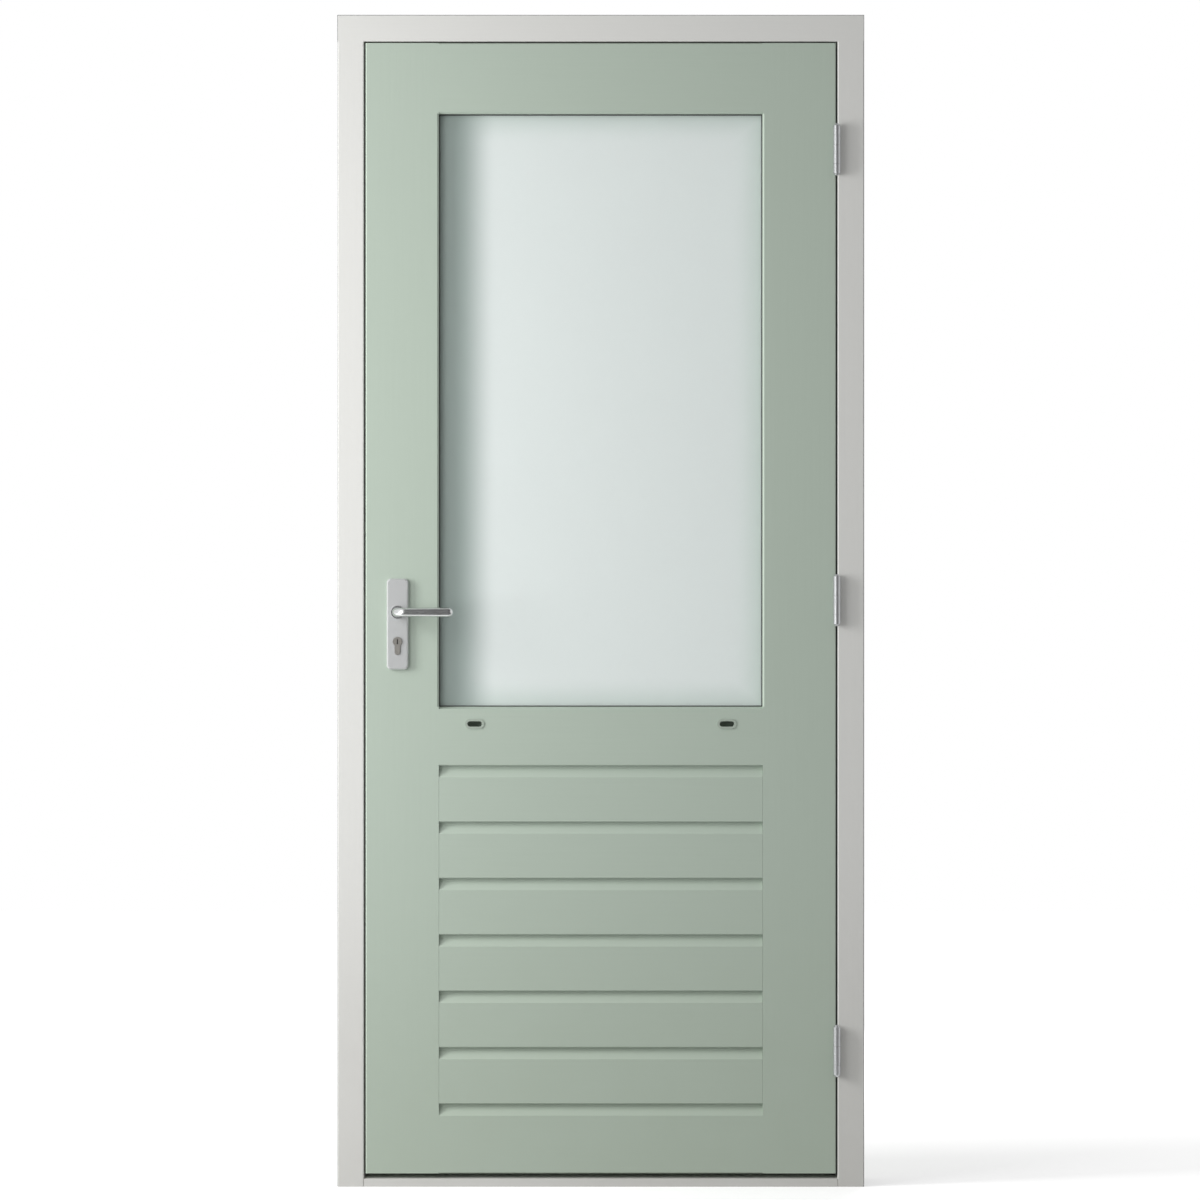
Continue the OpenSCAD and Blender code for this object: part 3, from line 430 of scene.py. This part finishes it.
metal_group, given, end = new_group(
    "hair_lines",
    {"Drawn": VECTOR, "Place": VECTOR, "Bright": COLOUR, "Dull": COLOUR, "Smooth": NUMBER, "Rough": NUMBER},
    {"Colour": COLOUR, "Roughness": NUMBER, "Height": NUMBER},
)
tree = metal_group
hairs = noise(tree, "hair lines", given["Drawn"], Scale=1.0, Detail=3.0, Roughness=0.7)
smears = noise(tree, "smears", given["Place"], Scale=SMEARS_PER_M, Detail=4.0, Distortion=0.6)
part_smears = compute(tree, "half smears", "MULTIPLY", smears, SMEAR_SHARE)
both = compute(tree, "hairs and smears", "MULTIPLY_ADD", hairs, HAIR_SHARE, part_smears, clamp=True)
feed(tree, end,
     Colour=mix_colours(tree, "metal colour", both, given["Bright"], given["Dull"]),
     Roughness=carry(tree, "gloss", both, From_Min=DULL_LOW, From_Max=DULL_HIGH,
                     To_Min=given["Smooth"], To_Max=given["Rough"]),
     Height=hairs)
print("metal group has", len(metal_group.nodes), "nodes")

# %% [markdown]
# ## Paint
#
# The door is painted a pale sage green, silk rather than gloss. Stiles and jambs are brushed up and down,
# rails and boards from side to side, so each paint exists in two directions. The only difference is the
# Mapping node: it squeezes the noise across the timber and leaves it long along the timber. A material
# places the group, gives it its own values, and feeds what comes out to its shader.

# %% Define how a group feeds a surface
def place_and_drawn(tree, scale):
    """Object coordinates as they are, and drawn out by a Mapping node."""
    where = add_node(tree, "ShaderNodeTexCoord", "where on the piece").outputs["Object"]
    drawn = add_node(tree, "ShaderNodeMapping", "drawn along", Vector=where, Scale=scale)
    return where, drawn.outputs["Vector"]


def finish_surface(tree, shader, effect, colour, strength, depth):
    """Feeds a colour, and a group's gloss and relief, to the shader."""
    bump = add_node(tree, "ShaderNodeBump", "relief", Strength=strength, Distance=depth,
                    Height=effect.outputs["Height"])
    feed(tree, shader, Base_Color=colour, Roughness=effect.outputs["Roughness"],
         Normal=bump.outputs["Normal"])


print("surface helpers ready")

# %% [markdown]
# The frame is white, and its sides and top, which go against the wall, are left in grey primer, as a joiner
# delivers them. Those faces are the outermost ones of the whole door, so a comparison with the size of the
# door finds them.

# %% Define the paints
ALONG_PER_M = 5.0
ACROSS_PER_M = 260.0
UPRIGHT = (ACROSS_PER_M, ACROSS_PER_M, ALONG_PER_M)
CROSSWISE = (ALONG_PER_M, ACROSS_PER_M, ACROSS_PER_M)
# The third colour of each paint is the darker one used for the painted shade near the floor.
SAGE = {"film": (0.484, 0.564, 0.486, 1), "thin": (0.438, 0.514, 0.438, 1),
        "foot_shade_colour": (0.442, 0.515, 0.430, 1), "unevenness": 0.5}
FRAME_WHITE = {"film": (0.75, 0.75, 0.725, 1), "thin": (0.69, 0.69, 0.665, 1),
               "foot_shade_colour": (0.66, 0.655, 0.625, 1), "unevenness": 0.4, "primed": True}
PAINT_RELIEF = 0.25
PAINT_DEPTH = 0.0004
PRIMER = (0.38, 0.385, 0.38, 1)
PRIMED_DEPTH = 0.0012


def prime_backs(tree, place, painted):
    """A paint's colour, with primer on the outermost faces, which the wall will hide."""
    apart = add_node(tree, "ShaderNodeSeparateXYZ", "across and up", Vector=place).outputs
    aside = compute(tree, "from the middle across", "ABSOLUTE", apart["X"])
    backs = compute(tree, "sides", "GREATER_THAN", aside, cad_high.x - PRIMED_DEPTH)
    tops = compute(tree, "top", "GREATER_THAN", apart["Z"], cad_high.z - PRIMED_DEPTH)
    either = compute(tree, "sides or top", "MAXIMUM", backs, tops)
    return mix_colours(tree, "primed", either, painted, PRIMER)


def make_paint(name, scale, film, thin, foot_shade_colour, unevenness, primed=False):
    """A brushed paint whose streaks run along the axis with the small scale."""
    material, tree, shader = new_tree(name)
    place, drawn = place_and_drawn(tree, scale)
    effect = add_node(tree, "ShaderNodeGroup", "brushed paint", {"node_tree": paint_group}, Drawn=drawn,
                      Place=place, Film=film, Thin_Film=thin, Splashed=foot_shade_colour, Unevenness=unevenness)
    colour = effect.outputs["Colour"]
    if primed:
        colour = prime_backs(tree, place, colour)
    finish_surface(tree, shader, effect, colour, PAINT_RELIEF, PAINT_DEPTH)
    return material


sage_upright = make_paint("sage_upright", UPRIGHT, **SAGE)
sage_crosswise = make_paint("sage_crosswise", CROSSWISE, **SAGE)
white_upright = make_paint("white_upright", UPRIGHT, **FRAME_WHITE)
white_crosswise = make_paint("white_crosswise", CROSSWISE, **FRAME_WHITE)
print("paints:", sage_upright.name, sage_crosswise.name, white_upright.name, white_crosswise.name)

# %% [markdown]
# ## Metal
#
# The hinges, the strike plate and the lock's forend are brushed steel. The lever set is natural anodised
# aluminium, which is paler and duller because the light sinks into a thin oxide layer. The cylinder is
# nickel plated, warmer and smoother. All are the same group with other colours, directions and gloss.

# %% Define the metals
HAIRS_ALONG = 12.0
HAIRS_ACROSS = 2200.0
UP_HAIRS = (HAIRS_ACROSS, HAIRS_ACROSS, HAIRS_ALONG)
LEVEL_HAIRS = (HAIRS_ALONG, HAIRS_ACROSS, HAIRS_ACROSS)
HAIR_DEPTH = 0.0001


def make_metal(name, scale, bright, dull, smooth, rough, relief, metallic):
    """A metal with hair lines along the axis with the small scale."""
    material, tree, shader = new_tree(name)
    place, drawn = place_and_drawn(tree, scale)
    effect = add_node(tree, "ShaderNodeGroup", "hair lines", {"node_tree": metal_group}, Drawn=drawn,
                      Place=place, Bright=bright, Dull=dull, Smooth=smooth, Rough=rough)
    feed(tree, shader, Metallic=metallic)
    finish_surface(tree, shader, effect, effect.outputs["Colour"], relief, HAIR_DEPTH)
    return material


brushed_steel = make_metal(
    "brushed_steel", UP_HAIRS, bright=(0.62, 0.63, 0.64, 1), dull=(0.46, 0.47, 0.48, 1),
    smooth=0.36, rough=0.50, relief=0.3, metallic=0.85)
anodised_plate = make_metal(
    "anodised_plate", UP_HAIRS, bright=(0.66, 0.67, 0.67, 1), dull=(0.55, 0.56, 0.56, 1),
    smooth=0.46, rough=0.58, relief=0.2, metallic=0.55)
anodised_lever = make_metal(
    "anodised_lever", LEVEL_HAIRS, bright=(0.74, 0.75, 0.75, 1), dull=(0.60, 0.61, 0.61, 1),
    smooth=0.18, rough=0.28, relief=0.15, metallic=1.0)
satin_nickel = make_metal(
    "satin_nickel", LEVEL_HAIRS, bright=(0.60, 0.58, 0.54, 1), dull=(0.46, 0.44, 0.40, 1),
    smooth=0.24, rough=0.38, relief=0.15, metallic=0.8)
print("metals:", brushed_steel.name, anodised_plate.name, anodised_lever.name, satin_nickel.name)

# %% [markdown]
# ## Satin glass
#
# The pane is etched on one face. It lets daylight through but blurs everything behind it into one pale
# green grey, and it stays dull where clear glass would mirror the room. A part of the light goes through
# the pane and the rest is scattered back, so the shader mixes a rough transmission with a pale base. The
# etch is a little cloudy. Near the rim the colour darkens into a faint band of painted shade, standing for
# the shade of the rebate and the spacer behind the pane. Beside the lock stile a broader and darker band
# of painted shade stands for the soft shadow that the stile casts on the pane in the light from the left.

# %% Measure the pane
pane_low, pane_high = (Vector(corner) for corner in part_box("outer_pane"))
pane_middle = (pane_low + pane_high) / 2
pane_half = (pane_high - pane_low) / 2
stile_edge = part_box("lock_stile")[1][0] - pane_middle.x
print("pane of", [round(2 * v, 3) for v in pane_half], "m, stile edge at", round(stile_edge, 4))

# %% [markdown]
# These bands of painted shade could be painted on a picture of the pane, but that picture would fit one
# size only. Here the rim shade is worked out from the distance to the edges of the pane and the shade beside
# the stile from the distance to the stile, so both follow when the door is made in another size.

# %% Define the etched glass
PANE_TINT = (0.93, 0.985, 0.97, 1)
# The two darker colours below are painted shade: one along the whole rim, one beside the lock stile.
PANE_RIM_SHADE_TINT = (0.75, 0.84, 0.80, 1)
PANE_SHADE_TINT = (0.44, 0.52, 0.49, 1)
PANE_THROUGH = 0.28
GLASS_IOR = 1.5
RIM_FADE = 0.070
SHADE_FULL = 0.035
SHADE_END = 0.110
ETCH_CLOUDS_PER_M = 3.2
ETCH_SMOOTH, ETCH_ROUGH = 0.44, 0.56
ETCH_GRAIN_PER_M = 2600.0
ETCH_RELIEF = 0.12
ETCH_DEPTH = 0.0001

satin_glass, tree, shader = new_tree("etched_glass")
where = add_node(tree, "ShaderNodeTexCoord", "where on the pane").outputs["Object"]
centred = add_node(tree, "ShaderNodeMapping", "centred on the pane", Vector=where, Location=-pane_middle)
apart = add_node(tree, "ShaderNodeSeparateXYZ", "across and up", Vector=centred.outputs["Vector"]).outputs
across = compute(tree, "from the middle across", "ABSOLUTE", apart["X"])
up = compute(tree, "from the middle up", "ABSOLUTE", apart["Z"])
side_rim = carry(tree, "side rims", across, soft=True,
                 From_Min=pane_half.x - RIM_FADE, From_Max=pane_half.x)
end_rim = carry(tree, "top and bottom rims", up, soft=True,
                From_Min=pane_half.z - RIM_FADE, From_Max=pane_half.z)
rim = compute(tree, "whole rim", "MAXIMUM", side_rim, end_rim)
# Painted shade beside the lock stile, standing for the shadow the stile casts on the pane.
shade = carry(tree, "shaded side", apart["X"], soft=True,
              From_Min=stile_edge + SHADE_END, From_Max=stile_edge + SHADE_FULL)
# Painted shade along the rim of the pane, darkest at the very edge.
tint = mix_colours(tree, "pane tint", rim, PANE_TINT, PANE_RIM_SHADE_TINT)
clouds = noise(tree, "cloudy etch", where, Scale=ETCH_CLOUDS_PER_M, Detail=3.0)
grain = noise(tree, "etched grain", where, Scale=ETCH_GRAIN_PER_M, Detail=1.0)
bump = add_node(tree, "ShaderNodeBump", "etched relief", Strength=ETCH_RELIEF, Distance=ETCH_DEPTH,
                Height=grain)
feed(tree, shader,
     Base_Color=mix_colours(tree, "shaded tint", shade, tint, PANE_SHADE_TINT),
     Roughness=carry(tree, "etched gloss", clouds, To_Min=ETCH_SMOOTH, To_Max=ETCH_ROUGH),
     Normal=bump.outputs["Normal"],
     Transmission_Weight=PANE_THROUGH,
     IOR=GLASS_IOR)
print("etched glass has", len(tree.nodes), "nodes")

# %% [markdown]
# Behind the etched pane stands a clear one. Float glass is almost free of colour, with a faint green in its
# depth, and what shows of it is mainly its gloss and a thin film of dust.

# %% Define the clear glass
FLOAT_TINT = (0.93, 0.97, 0.95, 1)
FLOAT_THROUGH = 1.0
DUST_PER_M = 9.0
DUST_LOW, DUST_HIGH = 0.4, 0.75
FLOAT_SMOOTH, FLOAT_DUSTY = 0.02, 0.10

clear_glass, tree, shader = new_tree("clear_glass")
where = add_node(tree, "ShaderNodeTexCoord", "where on the pane").outputs["Object"]
dust = noise(tree, "film of dust", where, Scale=DUST_PER_M, Detail=5.0)
feed(tree, shader,
     Base_Color=FLOAT_TINT,
     Roughness=carry(tree, "dusty gloss", dust, From_Min=DUST_LOW, From_Max=DUST_HIGH,
                     To_Min=FLOAT_SMOOTH, To_Max=FLOAT_DUSTY),
     Transmission_Weight=FLOAT_THROUGH,
     IOR=GLASS_IOR)
print("clear glass has", len(tree.nodes), "nodes")

# %% [markdown]
# ## Rubber and moulded plastic
#
# The gaskets and the weather seal are matt rubber with a faint bloom, and the vent inserts are small
# plastic mouldings in a tone near the paint. Both need little more than a fine grain and an uneven gloss.

# %% Define the rubber and the plastic
BLOOM_PER_M = 24.0
GRAIN_RELIEF = 0.3
GRAIN_DEPTH = 0.0001


def make_moulding(name, colour, worn, grain_per_m, smooth, rough):
    """A dull moulded material, with a fine grain and an uneven gloss."""
    material, tree, shader = new_tree(name)
    where = add_node(tree, "ShaderNodeTexCoord", "where on the piece").outputs["Object"]
    bloom = noise(tree, "bloom", where, Scale=BLOOM_PER_M, Detail=4.0)
    grain = noise(tree, "moulded grain", where, Scale=grain_per_m, Detail=2.0)
    bump = add_node(tree, "ShaderNodeBump", "grain relief", Strength=GRAIN_RELIEF, Distance=GRAIN_DEPTH,
                    Height=grain)
    feed(tree, shader,
         Base_Color=mix_colours(tree, "tone", bloom, colour, worn),
         Roughness=carry(tree, "gloss", bloom, To_Min=smooth, To_Max=rough),
         Normal=bump.outputs["Normal"])
    return material


seal_rubber = make_moulding("seal_rubber", colour=(0.040, 0.044, 0.042, 1), worn=(0.075, 0.080, 0.076, 1),
                            grain_per_m=1500.0, smooth=0.62, rough=0.8)
vent_plastic = make_moulding("moulded_vent", colour=(0.40, 0.46, 0.395, 1), worn=(0.36, 0.42, 0.36, 1),
                             grain_per_m=2200.0, smooth=0.45, rough=0.6)
print("mouldings:", seal_rubber.name, vent_plastic.name)

# %% [markdown]
# ## Dressing the solids
#
# Each solid now gets its finish. A table from finish to pieces is easier to check than a long row of calls,
# and the assertion stops the script if a piece was forgotten.

# %% Give each piece its finish
dressed_in = {
    sage_upright: ["lock_stile", "hinge_stile", "bead_left", "bead_right"],
    sage_crosswise: ["top_rail", "mid_rail", "bottom_rail", "bead_top", "bead_bottom"]
    + [name for name in nodes if name.startswith("board_")],
    white_upright: ["hinge_jamb", "lock_jamb"],
    white_crosswise: ["head", "threshold"],
    satin_glass: ["outer_pane"],
    clear_glass: ["inner_pane"],
    seal_rubber: ["weather_seal", "outer_gasket", "inner_gasket", "setting_blocks"],
    vent_plastic: ["vent_left", "vent_right"],
    brushed_steel: ["strike_plate", "strike_screws", "hinge_pins", "frame_hinge_screws", "leaf_hinge_screws",
                    "lock_case", "lock_cover", "forend", "forend_screws", "cylinder_screw", "plate_bolts",
                    "spindle", "follower", "latch_bolt", "dead_bolt", "cylinder_cam"]
    + [name for name in nodes if "_hinge_plate_" in name],
    anodised_plate: ["outer_plate", "inner_plate", "pane_spacer"],
    anodised_lever: ["outer_lever", "inner_lever"],
    satin_nickel: ["cylinder_body", "cylinder_plug", "thumb_turn"],
}
for finish, names in dressed_in.items():
    for name in names:
        mesh = nodes[name].data
        mesh.materials.clear()
        mesh.materials.append(finish)
bare = set(nodes) - {name for names in dressed_in.values() for name in names}
assert not bare, bare
print("dressed", len(nodes), "pieces in", len(dressed_in), "finishes")

# %% [markdown]
# ## Screws
#
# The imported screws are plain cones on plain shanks. On the real door each head has a six-lobed recess for
# the driver, which shows on every hinge when the door stands open. One screw is modelled from a cone: its
# wide face is inset, the inner loop is pressed into six lobes and sunk, and the narrow face is drawn out to
# the shank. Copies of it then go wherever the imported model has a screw.

# %% Model one screw
DRIVE_SHARE = 0.52
DRIVE_LOBES = 6
DRIVE_SINK = 0.7
LOBE_DEPTH = 0.17
SCREW_SIDES = 36
WOOD_SCREW = {"head_r": 0.004, "shank_r": 0.002, "head_h": 0.002, "length": 0.028}


def screw_template(head_r, shank_r, head_h, length):
    """A countersunk screw along +Z with its head's face at the origin."""
    shape = bmesh.new()
    bmesh.ops.create_cone(shape, cap_ends=True, segments=SCREW_SIDES, radius1=head_r, radius2=shank_r,
                          depth=head_h)
    bmesh.ops.translate(shape, vec=(0, 0, head_h / 2), verts=shape.verts)
    caps = [f for f in shape.faces if len(f.verts) == SCREW_SIDES]
    face, tip = sorted(caps, key=lambda f: f.calc_center_median().z)
    drawn = bmesh.ops.extrude_discrete_faces(shape, faces=[tip])["faces"][0]
    bmesh.ops.translate(shape, vec=(0, 0, length - head_h), verts=drawn.verts)
    bmesh.ops.inset_region(shape, faces=[face], thickness=head_r * (1 - DRIVE_SHARE), use_even_offset=True)
    for vert in face.verts:
        angle = vert.co.xy.angle_signed(Vector((1, 0)))
        vert.co.xy *= 1 + LOBE_DEPTH * cos(DRIVE_LOBES * angle)
    sunk = bmesh.ops.extrude_discrete_faces(shape, faces=[face])["faces"][0]
    bmesh.ops.translate(shape, vec=(0, 0, head_h * DRIVE_SINK), verts=sunk.verts)
    bmesh.ops.recalc_face_normals(shape, faces=shape.faces)
    mesh = bpy.data.meshes.new("screw_template")
    shape.to_mesh(mesh)
    shape.free()
    return mesh


wood_screw = screw_template(**WOOD_SCREW)
print("one screw has", len(wood_screw.polygons), "faces")

# %% [markdown]
# A packed group of screws is one mesh of several separate solids. Joining its doubled corners and walking
# from corner to corner finds those solids, and the box round each says where that screw's head is.

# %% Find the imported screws
SAME_POINT = 1e-6


def solids_of(node):
    """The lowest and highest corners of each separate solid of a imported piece."""
    shape = bmesh.new()
    shape.from_mesh(nodes[node].data)
    bmesh.ops.remove_doubles(shape, verts=shape.verts, dist=SAME_POINT)
    unseen = set(shape.verts)
    boxes = []
    while unseen:
        reached = [unseen.pop()]
        for vert in reached:
            near = {edge.other_vert(vert) for edge in vert.link_edges} & unseen
            unseen -= near
            reached.extend(near)
        corners = [[pick(v.co[axis] for v in reached) for axis in range(3)] for pick in (min, max)]
        boxes.append([Vector(corner) for corner in corners])
    shape.free()
    return sorted(boxes, key=lambda box: tuple(box[0]))


bolt_low, bolt_high = solids_of("plate_bolts")[0]
print("a through bolt is", round(bolt_high.y - bolt_low.y, 4), "m long")

# %% [markdown]
# Each copy of the screw is turned by a different angle, since nobody lines up the recesses of screws. It is
# then pointed into the timber and moved to its place.

# %% Put the screws in their places
TURN_STEP = radians(47)
THROUGH_BOLT = {"head_r": 0.005, "shank_r": 0.0025, "head_h": 0.004, "length": bolt_high.y - bolt_low.y}


def place_screws(name, node, template, inward, body):
    """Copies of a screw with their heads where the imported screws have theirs, pointing inward."""
    inward = Vector(inward)
    aim = inward.to_track_quat("Z", "Y").to_matrix()
    boxes = solids_of(node)
    shape = bmesh.new()
    for count, (low, high) in enumerate(boxes):
        head = (low + high) / 2 - inward * abs((high - low).dot(inward)) / 2
        turn = Matrix.Rotation(TURN_STEP * count, 3, "Z")
        first = len(shape.verts)
        shape.from_mesh(template)
        shape.verts.ensure_lookup_table()
        added = shape.verts[first:]
        bmesh.ops.rotate(shape, cent=(0, 0, 0), matrix=turn, verts=added)
        bmesh.ops.rotate(shape, cent=(0, 0, 0), matrix=aim, verts=added)
        bmesh.ops.translate(shape, vec=head, verts=added)
    piece = make_object(shape, name, brushed_steel)
    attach(piece, body)
    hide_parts(node)
    print(name, "has", len(boxes), "screws")


through_bolt = screw_template(**THROUGH_BOLT)
place_screws("frame_hinge_screw_heads", "frame_hinge_screws", wood_screw, (1, 0, 0), "frame")
place_screws("leaf_hinge_screw_heads", "leaf_hinge_screws", wood_screw, (-1, 0, 0), "leaf")
place_screws("strike_screw_heads", "strike_screws", wood_screw, (-1, 0, 0), "frame")
place_screws("forend_screw_heads", "forend_screws", wood_screw, (1, 0, 0), "leaf")
place_screws("plate_bolt_heads", "plate_bolts", through_bolt, (0, -1, 0), "leaf")
